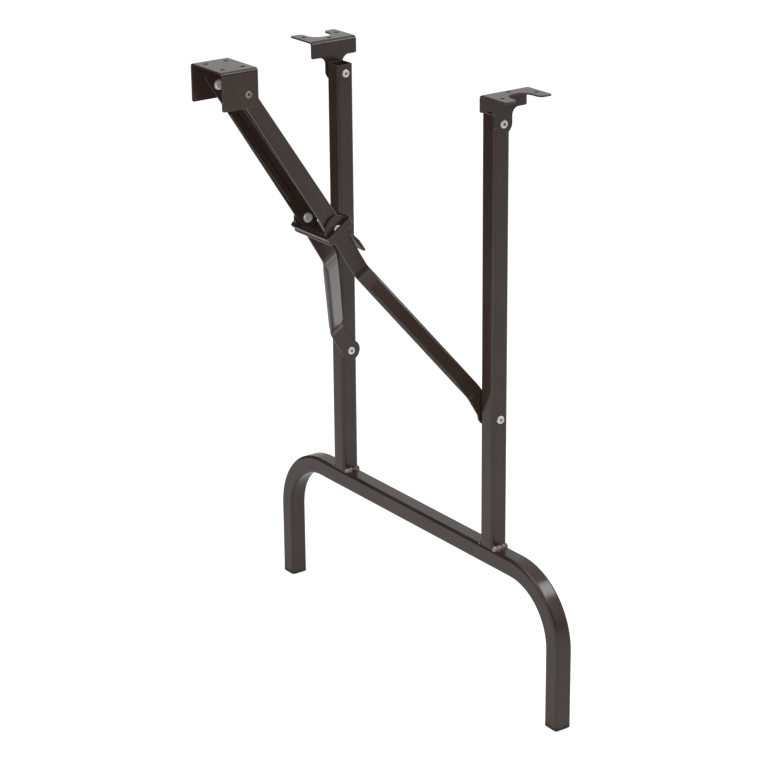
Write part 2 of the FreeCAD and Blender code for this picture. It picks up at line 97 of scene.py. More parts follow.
class Slot(Enum):
    """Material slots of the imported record."""

    COAT = "brown_powder_coat"
    ZINC = "zinc_rivet"
    PLASTIC = "black_plastic"


class Side(Enum):
    """The two sides of the leg, with the sign of their X."""

    LEFT = -1
    RIGHT = 1

    def node(self, part: str) -> str:
        """Name of a part's CAD node on this side."""
        return f"{self.name.lower()}_{part}"


class Relief(NamedTuple):
    """A bump: the share of it that shows, and its height in metres."""

    strength: float
    depth: float


def srgb(red: int, green: int, blue: int) -> Colour:
    """Turn an 8-bit screen colour into a linear one.

    Args:
        red: Red from 0 to 255.
        green: Green from 0 to 255.
        blue: Blue from 0 to 255.

    Returns:
        Linear red, green and blue, and an alpha of 1.
    """

    def linear(level: int) -> float:
        """One channel as linear light, by the sRGB standard."""
        share = level / 255
        return share / 12.92 if share <= 0.04045 else ((share + 0.055) / 1.055) ** 2.4

    return linear(red), linear(green), linear(blue), 1.0


class NodeGraph:
    """A short way to write the nodes of a material, a world or a Geometry Nodes tree."""

    def __init__(self, tree: bpy.types.NodeTree) -> None:
        """Start on an empty tree."""
        self.tree = tree
        tree.nodes.clear()

    def add(
        self, kind: str, inputs: dict[str | int, object] | None = None, **settings: object
    ) -> bpy.types.Node:
        """Add a node and fill it in.

        Args:
            kind: Type name of the node.
            inputs: Value or linked socket for each input, by name or number.
            settings: Properties of the node itself.

        Returns:
            The new node.
        """
        node = self.tree.nodes.new(kind)
        for name, value in settings.items():
            setattr(node, name, value)
        for name, value in (inputs or {}).items():
            if isinstance(value, Socket):
                self.tree.links.new(value, node.inputs[name])
            else:
                node.inputs[name].default_value = value
        return node

    def attribute(self, name: str) -> Socket:
        """Number that the mesh itself carries under a name."""
        return self.add("ShaderNodeAttribute", attribute_name=name).outputs["Fac"]

    def times(self, first: Socket, second: Socket | float) -> Socket:
        """Product of two numbers."""
        return self.add("ShaderNodeMath", {0: first, 1: second}, operation="MULTIPLY").outputs[0]

    def vector(self, **parts: Socket | float) -> Socket:
        """Vector with the given X, Y and Z, and 0 for one that isn't given."""
        return self.add("ShaderNodeCombineXYZ", parts).outputs[0]

    def noise(self, place: Socket, scale: float, detail: float = 2.0) -> Socket:
        """Noise pattern at a scale given in cells per metre.

        Args:
            place: Socket that gives the place.
            scale: Cells per metre.
            detail: Number of finer octaves.

        Returns:
            The pattern's socket, from 0 to 1.
        """
        made = self.add("ShaderNodeTexNoise", {"Vector": place, "Scale": scale, "Detail": detail})
        return made.outputs["Fac"]

    def remap(self, value: Socket, source: Span, target: Span) -> Socket:
        """Stretch one range of values to another, clamped.

        Args:
            value: Socket to stretch.
            source: Range that it comes in.
            target: Range that it leaves in.

        Returns:
            The stretched value's socket.
        """
        ends = {"Value": value, 1: source[0], 2: source[1], 3: target[0], 4: target[1]}
        return self.add("ShaderNodeMapRange", ends).outputs["Result"]

    def mix(self, share: Socket, first: Socket | Colour, second: Socket | Colour) -> Socket:
        """Mix two colours.

        Args:
            share: How much of the second colour shows.
            first: First colour or its socket.
            second: Second colour or its socket.

        Returns:
            The mixed colour's socket.
        """
        made = self.add("ShaderNodeMix", {0: share, 6: first, 7: second}, data_type="RGBA")
        return made.outputs[2]

    def bump(self, height: Socket, relief: Relief, under: Socket | None = None) -> Socket:
        """Bump from a height pattern.

        Args:
            height: Socket of the pattern.
            relief: How strong and how high the bump is.
            under: Normal of a bump below this one.

        Returns:
            The normal's socket.
        """
        inputs = {"Height": height, "Strength": relief.strength, "Distance": relief.depth}
        if under is not None:
            inputs["Normal"] = under
        return self.add("ShaderNodeBump", inputs).outputs["Normal"]


def new_material(name: str) -> tuple[bpy.types.Material, NodeGraph]:
    """Start a material.

    Args:
        name: Name of the material.

    Returns:
        The material and its nodes, which are still empty.
    """
    material = bpy.data.materials.new(name)
    material.use_nodes = True
    return material, NodeGraph(material.node_tree)


@dataclass(frozen=True)
class Finish:
    """A finish of the leg. Each kind says in its look what goes into the shader."""

    name: str

    def build(self) -> bpy.types.Material:
        """Make the finish's material."""
        material, graph = new_material(self.name)
        place = graph.add("ShaderNodeTexCoord").outputs["Object"]
        shader = graph.add("ShaderNodeBsdfPrincipled", self.look(graph, place))
        graph.add("ShaderNodeOutputMaterial", {"Surface": shader.outputs["BSDF"]})
        return material

    def look(self, graph: NodeGraph, place: Socket) -> dict[str, object]:
        """Lay the patterns of the finish.

        Args:
            graph: Nodes to add to.
            place: Socket of the place on the piece.

        Returns:
            Value or socket for each input of the shader.
        """
        raise NotImplementedError


@dataclass(frozen=True)
class PowderCoat(Finish):
    """Dark brown satin powder coat on steel."""

    name: str = "brown_powder_coat"
    deep: Colour = srgb(50, 39, 35)
    warm: Colour = srgb(57, 45, 40)
    thin: Colour = srgb(84, 70, 63)
    # Colour of the painted shade round the pressed stop on the arms.
    painted_shade: Colour = srgb(22, 17, 15)
    peel_cells: float = 520.0
    grain_cells: float = 2600.0
    drift_cells: float = 16.0
    drift_span: Span = (0.35, 0.65)
    worn_span: Span = (0.3, 0.65)
    worn_share: Span = (0.25, 0.8)
    speck_span: Span = (0.55, 0.75)
    speck_share: Span = (0.0, 0.35)
    roughness: Span = (0.13, 0.21)
    refraction: float = 1.5
    peel_relief: Relief = Relief(0.16, 0.10 * MM)
    grain_relief: Relief = Relief(0.10, 0.05 * MM)

    def look(self, graph: NodeGraph, place: Socket) -> dict[str, object]:
        """Drifting brown, orange peel and fine grain, with the coat thin on edges and painted shade round
        the pressed stop.
        """
        peel = graph.noise(place, self.peel_cells)
        grain = graph.noise(place, self.grain_cells, detail=3.0)
        drift = graph.noise(place, self.drift_cells, detail=4.0)
        body = graph.mix(graph.remap(drift, self.drift_span, WHOLE), self.deep, self.warm)
        speckled = graph.mix(graph.remap(grain, self.speck_span, self.speck_share), body, self.thin)
        worn = graph.remap(drift, self.worn_span, self.worn_share)
        edged = graph.mix(graph.times(graph.attribute(EDGE_ATTRIBUTE), worn), speckled, self.thin)
        return {
            "Base Color": graph.mix(graph.attribute(PAINTED_SHADE_ATTRIBUTE), edged, self.painted_shade),
            "Roughness": graph.remap(grain, NOISE_SPAN, self.roughness),
            "IOR": self.refraction,
            "Normal": graph.bump(grain, self.grain_relief, graph.bump(peel, self.peel_relief)),
        }


@dataclass(frozen=True)
class WeldBead(Finish):
    """Weld metal with patches of thin coat on it; the bright metal patches are partly painted highlight.
    """

    name: str = "coated_weld"
    # Bare weld metal, lightened in part as painted highlight for glints on the ripples.
    metal_and_painted_glint: Colour = srgb(150, 142, 136)
    coat_patch: Colour = srgb(56, 45, 40)
    patch_cells: float = 170.0
    grain_cells: float = 1800.0
    patch_span: Span = (0.38, 0.62)
    metal: float = 0.4
    roughness: Span = (0.12, 0.24)
    grain_relief: Relief = Relief(0.3, 0.08 * MM)

    def look(self, graph: NodeGraph, place: Socket) -> dict[str, object]:
        """Patches of dark coat over brighter metal, which is partly painted highlight, with a fine grain.
        """
        patch = graph.noise(place, self.patch_cells)
        grain = graph.noise(place, self.grain_cells, detail=3.0)
        return {
            "Base Color": graph.mix(graph.remap(patch, self.patch_span, WHOLE), self.coat_patch, self.metal_and_painted_glint),
            "Metallic": self.metal,
            "Roughness": graph.remap(grain, NOISE_SPAN, self.roughness),
            "Normal": graph.bump(grain, self.grain_relief),
        }


@dataclass(frozen=True)
class ZincPlate(Finish):
    """Bright zinc plate on the rivets, dulled a little by handling."""

    name: str = "zinc_rivet"
    bright: Colour = srgb(238, 237, 234)
    dull: Colour = srgb(188, 184, 178)
    # Colour of the painted shade in the dimple of a clinched end.
    dimple_painted_shade: Colour = srgb(42, 36, 33)
    sprayed: Colour = srgb(134, 124, 118)
    spangle_cells: float = 900.0
    grain_cells: float = 1800.0
    stain_cells: float = 260.0
    stain_span: Span = (0.4, 0.7)
    stain_share: Span = (0.0, 0.7)
    spangle_span: Span = (0.2, 0.9)
    spangle_share: Span = (0.0, 0.3)
    metal: float = 0.5
    roughness: Span = (0.3, 0.46)
    grain_relief: Relief = Relief(0.12, 0.04 * MM)

    def look(self, graph: NodeGraph, place: Socket) -> dict[str, object]:
        """Crystal spangle, stains, painted shade in the dimples and a dusting of coat on some ends."""
        stain = graph.noise(place, self.stain_cells, detail=4.0)
        crystals = graph.add("ShaderNodeTexVoronoi", {"Vector": place, "Scale": self.spangle_cells})
        spangle = graph.remap(crystals.outputs["Distance"], self.spangle_span, self.spangle_share)
        tone = graph.mix(graph.remap(stain, self.stain_span, self.stain_share), self.bright, self.dull)
        flecked = graph.mix(spangle, tone, self.dull)
        dusted = graph.mix(graph.attribute(OVERSPRAY_ATTRIBUTE), flecked, self.sprayed)
        grain = graph.noise(place, self.grain_cells, detail=3.0)
        return {
            "Base Color": graph.mix(graph.attribute(DIMPLE_ATTRIBUTE), dusted, self.dimple_painted_shade),
            "Metallic": self.metal,
            "Roughness": graph.remap(stain, NOISE_SPAN, self.roughness),
            "Normal": graph.bump(grain, self.grain_relief),
        }


@dataclass(frozen=True)
class MouldedPlastic(Finish):
    """Black moulded plastic of the foot caps."""

    name: str = "black_plastic"
    body: Colour = srgb(24, 24, 25)
    scuff: Colour = srgb(62, 60, 58)
    grain_cells: float = 3200.0
    scuff_cells: float = 90.0
    scuff_span: Span = (0.58, 0.8)
    scuff_share: Span = (0.0, 0.6)
    roughness: Span = (0.48, 0.64)
    grain_relief: Relief = Relief(0.25, 0.06 * MM)

    def look(self, graph: NodeGraph, place: Socket) -> dict[str, object]:
        """Spark-eroded mould grain with a few pale scuffs."""
        grain = graph.noise(place, self.grain_cells)
        scuffs = graph.noise(place, self.scuff_cells, detail=6.0)
        share = graph.remap(scuffs, self.scuff_span, self.scuff_share)
        return {
            "Base Color": graph.mix(share, self.body, self.scuff),
            "Roughness": graph.remap(grain, NOISE_SPAN, self.roughness),
            "Normal": graph.bump(grain, self.grain_relief),
        }


@dataclass
class Finishes:
    """The finishes of the leg, each made once."""

    coat: bpy.types.Material
    zinc: bpy.types.Material
    plastic: bpy.types.Material
    weld: bpy.types.Material

    @classmethod
    def make(cls) -> "Finishes":
        """Make every finish."""
        return cls(*(kind().build() for kind in (PowderCoat, ZincPlate, MouldedPlastic, WeldBead)))

    def of(self, slot: Slot) -> bpy.types.Material:
        """Finish that belongs to a slot of the record."""
        return {Slot.COAT: self.coat, Slot.ZINC: self.zinc, Slot.PLASTIC: self.plastic}[slot]


@dataclass(frozen=True)
class Rivet:
    """One kind of rivet: where it is clinched and what its clinched end looks like."""

    clinched_outwards: bool
    sprayed: bool = False
    spray_share: float = 0.85
    edge_radius: float = 0.15 * MM
    dimple_radius: float = 2.3 * MM
    dimple_slope: float = 2.0
    clinch_height: float = 1.95 * MM
    clinch_spread: float = 1.0

    def clinched_to(self, x: float) -> float:
        """Sign of the X way that a rivet at this X is clinched."""
        return math.copysign(1.0, x) if self.clinched_outwards else 1.0

    def marks(self) -> list[str]:
        """Names of the surface marks that this kind carries."""
        return [DIMPLE_ATTRIBUTE] + [OVERSPRAY_ATTRIBUTE] * self.sprayed

    def dimple_shade(self, off_axis: float) -> float:
        """How dark the painted shade on the clinched end is at a distance from the rivet's axis, from 0
        to 1.
        """
        shade = 1.0 - off_axis / self.dimple_radius
        return min(1.0, max(0.0, shade * self.dimple_slope))


@dataclass
class Dresser:
    """Turns a CAD node into a piece with rounded edges, smooth shading and its finish."""

    finishes: Finishes
    bodies: dict[str, str]
    edge_angle: float = math.radians(38)
    flat_angle: float = math.radians(0.6)
    merge_gap: float = 0.002 * MM

    def dress(self, node: str, slot: Slot, edge_radius: float) -> bpy.types.Object:
        """Make the piece that stands for a CAD node.

        Args:
            node: Name of the CAD node.
            slot: Material slot of the record.
            edge_radius: Radius that its sharp edges are rounded to.

        Returns:
            The finished piece.
        """
        solid = self.open_solid(node)
        self.round_edges(solid, edge_radius)
        return self.settle(solid, node, slot)

    def dress_rivet(self, node: str, rivet: Rivet) -> bpy.types.Object:
        """Make the piece that stands for a rivet, with painted shade in its dimple and any overspray
        marked.

        Args:
            node: Name of the CAD node.
            rivet: Facts about this kind of rivet.

        Returns:
            The finished piece.
        """
        piece = self.dress(node, Slot.ZINC, rivet.edge_radius)
        low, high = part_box(node)
        middle = (low + high) / 2
        clinch_x = high.x if rivet.clinched_to(middle.x) > 0 else low.x
        marks = {name: piece.data.attributes.new(name, "FLOAT", "POINT") for name in rivet.marks()}
        for index, vert in enumerate(piece.data.vertices):
            near_end = abs(vert.co.x - clinch_x) < rivet.clinch_height
            if near_end:
                vert.co.y = middle.y + (vert.co.y - middle.y) * rivet.clinch_spread
                vert.co.z = middle.z + (vert.co.z - middle.z) * rivet.clinch_spread
            off_axis = math.hypot(vert.co.y - middle.y, vert.co.z - middle.z)
            # Painted shade, darkest near the axis of the clinched end's dimple.
            marks[DIMPLE_ATTRIBUTE].data[index].value = near_end * rivet.dimple_shade(off_axis)
            if rivet.sprayed:
                marks[OVERSPRAY_ATTRIBUTE].data[index].value = near_end * rivet.spray_share
        return piece

    def open_solid(self, node: str) -> bmesh.types.BMesh:
        """Copy a CAD node's mesh with its flat faces made whole.

        Args:
            node: Name of the CAD node.

        Returns:
            A mesh that can be changed.
        """
        solid = bmesh.new()
        solid.from_mesh(frame["nodes"][node].data)
        bmesh.ops.remove_doubles(solid, verts=solid.verts, dist=self.merge_gap)
        bmesh.ops.dissolve_limit(
            solid, angle_limit=self.flat_angle, verts=solid.verts, edges=solid.edges
        )
        return solid

    def round_edges(self, solid: bmesh.types.BMesh, radius: float) -> None:
        """Round the sharp edges and mark where the coat is thinner.

        Args:
            solid: Mesh to change in place.
            radius: Radius of the rounding.
        """
        layer = solid.faces.layers.float.new(EDGE_ATTRIBUTE)
        sharp = [
            edge
            for edge in solid.edges
            if edge.is_manifold and edge.calc_face_angle(0.0) > self.edge_angle
        ]
        made = bmesh.ops.bevel(
            solid,
            geom=sharp,
            offset=radius,
            offset_type="OFFSET",
            segments=2,
            profile=0.5,
            affect="EDGES",
            clamp_overlap=False,
        )
        for face in made["faces"]:
            face[layer] = 1.0

    def settle(self, solid: bmesh.types.BMesh, node: str, slot: Slot) -> bpy.types.Object:
        """Turn a changed mesh into the piece that stands for its CAD node.

        Args:
            solid: The changed mesh, which is used up.
            node: Name of the CAD node.
            slot: Material slot of the record.

        Returns:
            The finished piece.
        """
        mesh = bpy.data.meshes.new(f"{node}_{slot.value}")
        solid.to_mesh(mesh)
        solid.free()
        return self.finish(mesh, node, slot)

    def finish(
        self, mesh: bpy.types.Mesh, node: str, slot: Slot, special: bpy.types.Material | None = None
    ) -> bpy.types.Object:
        """Shade a mesh, give it its finish and let it stand for its CAD node.

        Args:
            mesh: Mesh with its place in its vertices.
            node: Name of the CAD node that it stands for.
            slot: Material slot of the record.
            special: Finish to use instead of the slot's own.

        Returns:
            The finished piece.
        """
        mesh.shade_smooth()
        mesh.set_sharp_from_angle(angle=self.edge_angle)
        mesh.materials.clear()
        mesh.materials.append(special or self.finishes.of(slot))
        piece = bpy.data.objects.new(f"{node}_dressed", mesh)
        bpy.context.scene.collection.objects.link(piece)
        even = piece.modifiers.new("even_normals", "WEIGHTED_NORMAL")
        even.keep_sharp = True
        even.weight = 100
        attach(piece, self.bodies[node])
        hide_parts(node)
        LOG.info("%s rides on %s, %d faces", piece.name, self.bodies[node], len(mesh.polygons))
        return piece


class RippleTree:
    """Geometry Nodes tree that lays overlapping weld ripples along a straight run."""

    slant: float = math.radians(-24)
    overlap: float = 1.25
    height_span: Span = (0.8, 1.0)
    segments: int = 20
    rings: int = 12
    # So far out along the run that the flat root holds nothing back there.
    far: float = 1.0

    def __init__(self) -> None:
        """Make the tree with its named inputs."""
        self.tree = bpy.data.node_groups.new("weld_ripples", "GeometryNodeTree")
        face = self.tree.interface
        self.inputs: dict[str, str] = {}
        for name, kind in (
            ("Run", "NodeSocketFloat"),
            ("Leg", "NodeSocketFloat"),
            ("Root", "NodeSocketFloat"),
            ("Pitch", "NodeSocketFloat"),
            ("Seed", "NodeSocketInt"),
            ("Finish", "NodeSocketMaterial"),
        ):
            self.inputs[name] = face.new_socket(name, in_out="INPUT", socket_type=kind).identifier
        face.new_socket("Geometry", in_out="OUTPUT", socket_type="NodeSocketGeometry")
        self.lay_nodes()

    def lay_nodes(self) -> None:
        """Lay the nodes: a row of points, a flattened bead on each, and a flat root inside the tubes."""
        graph = NodeGraph(self.tree)
        given = graph.add("NodeGroupInput").outputs
        half = graph.times(given["Run"], 0.5)
        ends = {"Start": graph.vector(Y=graph.times(half, -1.0)), "End": graph.vector(Y=half)}
        line = graph.add("GeometryNodeCurvePrimitiveLine", ends).outputs[0]
        row = graph.add(
            "GeometryNodeCurveToPoints", {"Curve": line, "Length": given["Pitch"]}, mode="LENGTH"
        ).outputs[0]
        ripple = graph.add(
            "GeometryNodeMeshUVSphere", {"Segments": self.segments, "Rings": self.rings, "Radius": 1.0}
        ).outputs[0]
        least, most = self.height_span
        jitter = graph.add(
            "FunctionNodeRandomValue", {2: least, 3: most, "Seed": given["Seed"]}, data_type="FLOAT"
        ).outputs[1]
        height = graph.times(given["Leg"], jitter)
        size = graph.vector(X=height, Y=graph.times(given["Pitch"], self.overlap), Z=height)
        laid = graph.add(
            "GeometryNodeInstanceOnPoints",
            {"Points": row, "Instance": ripple, "Scale": size, "Rotation": (self.slant, 0.0, 0.0)},
        ).outputs[0]
        real = graph.add("GeometryNodeRealizeInstances", {"Geometry": laid}).outputs[0]
        root = graph.times(given["Root"], -1.0)
        floor = graph.vector(X=root, Y=-self.far, Z=root)
        place = graph.add("GeometryNodeInputPosition").outputs[0]
        held = graph.add("ShaderNodeVectorMath", {0: place, 1: floor}, operation="MAXIMUM").outputs[0]
        rooted = graph.add("GeometryNodeSetPosition", {"Geometry": real, "Position": held}).outputs[0]
        painted = graph.add(
            "GeometryNodeSetMaterial", {"Geometry": rooted, "Material": given["Finish"]}
        ).outputs[0]
        graph.add("NodeGroupOutput", {"Geometry": painted})

    def mesh(self, values: dict[str, object]) -> bpy.types.Mesh:
        """Evaluate the tree once.

        Args:
            values: Value of each named input.

        Returns:
            A plain mesh, lying along Y at the origin.
        """
        holder = bpy.data.objects.new("weld_holder", bpy.data.meshes.new("weld_holder"))
        bpy.context.scene.collection.objects.link(holder)
        modifier = holder.modifiers.new("weld_ripples", "NODES")
        modifier.node_group = self.tree
        for name, value in values.items():
            modifier[self.inputs[name]] = value
        ready = holder.evaluated_get(bpy.context.evaluated_depsgraph_get())
        mesh = bpy.data.meshes.new_from_object(ready)
        bpy.data.objects.remove(holder)
        return mesh


@dataclass
class Weld:
    """Weld beads at the two sides of one upright's foot."""

    side: Side
    ripples: RippleTree
    dresser: Dresser
    pitch: float = 2.4 * MM
    root: float = 0.6 * MM
    pitches_kept_free: float = 2.5
    outer_seed: int = 3
    inner_seed: int = 8

    def build(self) -> bpy.types.Object:
        """Lay a bead at each side of the upright and join the two."""
        node = self.side.node("weld")
        low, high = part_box(node)
        start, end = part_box(self.side.node("upright"))
        both = bmesh.new()
        for face, turn, seed in ((end.x, 0.0, self.outer_seed), (start.x, math.pi, self.inner_seed)):
            bead = self.ripples.mesh(
                {
                    "Run": end.y - start.y - self.pitches_kept_free * self.pitch,
                    "Leg": high.z - low.z,
                    "Root": self.root,
                    "Pitch": self.pitch,
                    "Seed": seed + self.side.value,
                    "Finish": self.dresser.finishes.weld,
                }
            )
            bead.transform(Matrix.Translation((face, 0.0, low.z)) @ Matrix.Rotation(turn, 4, "Z"))
            both.from_mesh(bead)
            bpy.data.meshes.remove(bead)
        mesh = bpy.data.meshes.new(node)
        bmesh.ops.remove_doubles(both, verts=both.verts, dist=self.dresser.merge_gap)
        both.to_mesh(mesh)
        both.free()
        return self.dresser.finish(mesh, node, Slot.COAT, self.dresser.finishes.weld)


@dataclass
class HingePlates:
    """The two bent plates that screw under the table top."""

    dresser: Dresser
    edge_radius: float = 0.35 * MM

    def build(self) -> list[bpy.types.Object]:
        """Dress both plates."""
        nodes = [side.node("hinge_bracket") for side in Side]
        return [self.dresser.dress(node, Slot.COAT, self.edge_radius) for node in nodes]


@dataclass
class LegFrame:
    """Bent base tube, uprights, welds, foot caps and the rivets that stay with them."""

    dresser: Dresser
    tube_edge: float = 0.25 * MM
    cap_edge: float = 0.3 * MM
    long_rivet: Rivet = Rivet(clinched_outwards=False)

    def build(self) -> list[bpy.types.Object]:
        """Dress the tubes, caps and rivets and lay the welds."""
        pieces = [self.dresser.dress("base_tube", Slot.COAT, self.tube_edge)]
        ripples = RippleTree()
        for side in Side:
            pieces.append(self.dresser.dress(side.node("upright"), Slot.COAT, self.tube_edge))
            pieces.append(self.dresser.dress(side.node("foot_cap"), Slot.PLASTIC, self.cap_edge))
            pieces.append(Weld(side, ripples, self.dresser).build())
            for rivet in ("hinge_rivet", "arm_rivet"):
                pieces.append(self.dresser.dress_rivet(side.node(rivet), self.long_rivet))
        return pieces


@dataclass
class FoldingBrace:
    """Arms, ribbed channel, top bracket, lock ring and their rivets."""

    dresser: Dresser
    lean: float = math.radians(33.85)
    sheet_edge: float = 0.35 * MM
    strip_edge: float = 0.3 * MM
    ring_lip: float = 2.2 * MM
    groove_slope: float = 0.3 * MM
    groove_depth: float = 0.9 * MM
    # Faces of the tongue's sheet in millimetres behind the joint, just inside the solid's own.
    web: Span = (9.02, 10.98)
    # Corners of a shoulder in millimetres: out from the middle, and up the channel from the joint.
    shoulder: tuple[Span, ...] = (
        (24.8, -11.6),
        (28.4, -11.6),
        (28.4, -13.4),
        (39.0, -22.98),
        (24.8, -22.98),
    )
    stop_drop: float = 48.0 * MM
    stop_reach: float = 4.2 * MM
    # A face's normal counts as along an axis above the first cosine, and as across it below the second.
    along: float = 0.97
    across: float = 0.1
    knuckle_rivet: Rivet = Rivet(clinched_outwards=True)
    bracket_rivet: Rivet = Rivet(clinched_outwards=True, sprayed=True, clinch_spread=0.86)

    def build(self) -> list[bpy.types.Object]:
        """Dress every piece of the brace."""
        pieces = [self.channel(), self.ring()]
        pieces.append(self.dresser.dress("brace_bracket", Slot.COAT, self.sheet_edge))
        for side in Side:
            pieces.append(self.arm(side))
            pieces.append(self.dresser.dress_rivet(side.node("knuckle_rivet"), self.knuckle_rivet))
            pieces.append(self.dresser.dress_rivet(side.node("bracket_rivet"), self.bracket_rivet))
        return pieces

    def knuckle_frame(self) -> Matrix:
        """Place of the middle joint, with Z along the channel and Y towards its back."""
        low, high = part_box(Side.LEFT.node("knuckle_rivet"))
        middle = (low + high) / 2
        return Matrix.Translation((0.0, middle.y, middle.z)) @ Matrix.Rotation(self.lean, 4, "X")

    def channel(self) -> bpy.types.Object:
        """Dress the channel and add the sloped shoulders of its stop tongue."""
        solid = self.dresser.open_solid("brace_channel")
        self.dresser.round_edges(solid, self.sheet_edge)
        place = self.knuckle_frame()
        for side in Side:
            inner, outer = (
                [solid.verts.new(place @ (Vector((x * side.value, y, z)) * MM)) for x, z in self.shoulder]
                for y in self.web
            )
            walls = [solid.faces.new(inner), solid.faces.new(outer)]
            for turn in range(len(self.shoulder)):
                rim = (inner[turn - 1], inner[turn], outer[turn], outer[turn - 1])
                walls.append(solid.faces.new(rim))
            bmesh.ops.recalc_face_normals(solid, faces=walls)
        return self.dresser.settle(solid, "brace_channel", Slot.COAT)

    def arm(self, side: Side) -> bpy.types.Object:
        """Dress one arm, with painted shade round the pressed stop for the ring.

        Args:
            side: Side of the leg.

        Returns:
            The finished piece.
        """
        solid = self.dresser.open_solid(side.node("arm"))
        self.dresser.round_edges(solid, self.strip_edge)
        painted_shade = solid.faces.layers.float.new(PAINTED_SHADE_ATTRIBUTE)
        local = self.knuckle_frame().inverted()
        # Painted shade on the faces round the pressed stop whose normals are not along X.
        for face in solid.faces:
            spot = local @ face.calc_center_median()
            near = math.hypot(spot.y, spot.z + self.stop_drop) < self.stop_reach
            face[painted_shade] = float(near and abs(face.normal.x) < self.along)
        return self.dresser.settle(solid, side.node("arm"), Slot.COAT)

    def ring(self) -> bpy.types.Object:
        """Dress the lock ring and roll a shallow groove round its outside."""
        solid = self.dresser.open_solid("lock_ring")
        axis = self.knuckle_frame().to_3x3() @ Vector((0.0, 0.0, 1.0))
        low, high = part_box("lock_ring")
        middle = (low + high) / 2
        outside = [
            face
            for face in solid.faces
            if abs(face.normal.dot(axis)) < self.across
            and face.normal.dot(face.calc_center_median() - middle) > 0.0
        ]
        for width, depth in ((self.ring_lip, 0.0), (self.groove_slope, -self.groove_depth)):
            bmesh.ops.inset_region(
                solid, faces=outside, thickness=width, depth=depth, use_even_offset=True
            )
        self.dresser.round_edges(solid, self.strip_edge)
        return self.dresser.settle(solid, "lock_ring", Slot.COAT)


def flat_sheet(
    name: str, half_width: float, half_depth: Vector, place: Matrix, material: bpy.types.Material
) -> bpy.types.Object:
    """Make a flat rectangle for the set.

    Args:
        name: Name of the sheet.
        half_width: Half its size along X, before it is placed.
        half_depth: From its middle to the middle of its far side, before it is placed.
        place: Where it goes.
        material: What it is made of.

    Returns:
        The sheet, which is in the scene.
    """
    side = Vector((half_width, 0.0, 0.0))
    outline = (-side - half_depth, side - half_depth, side + half_depth, half_depth - side)
    mesh = bpy.data.meshes.new(name)
    mesh.from_pydata(outline, [], [(0, 1, 2, 3)])
    mesh.transform(place)
    mesh.materials.append(material)
    sheet = bpy.data.objects.new(name, mesh)
    bpy.context.scene.collection.objects.link(sheet)
    return sheet


@dataclass(frozen=True)
class Lamp:
    """A soft box that points at the object."""

    name: str
    place: Place
    aim: Place
    size: Span
    watts: float
    mirrored: bool = True

    def build(self) -> None:
        """Hang the lamp."""
        data = bpy.data.lights.new(self.name, "AREA")
        data.shape = "RECTANGLE"
        data.size, data.size_y = self.size
        data.energy = self.watts
        lamp = bpy.data.objects.new(self.name, data)
        lamp.location = self.place
        lamp.visible_camera = False
        lamp.visible_glossy = self.mirrored
        towards = Vector(self.aim) - Vector(self.place)
        lamp.rotation_euler = towards.to_track_quat("-Z", "Y").to_euler()
        bpy.context.scene.collection.objects.link(lamp)


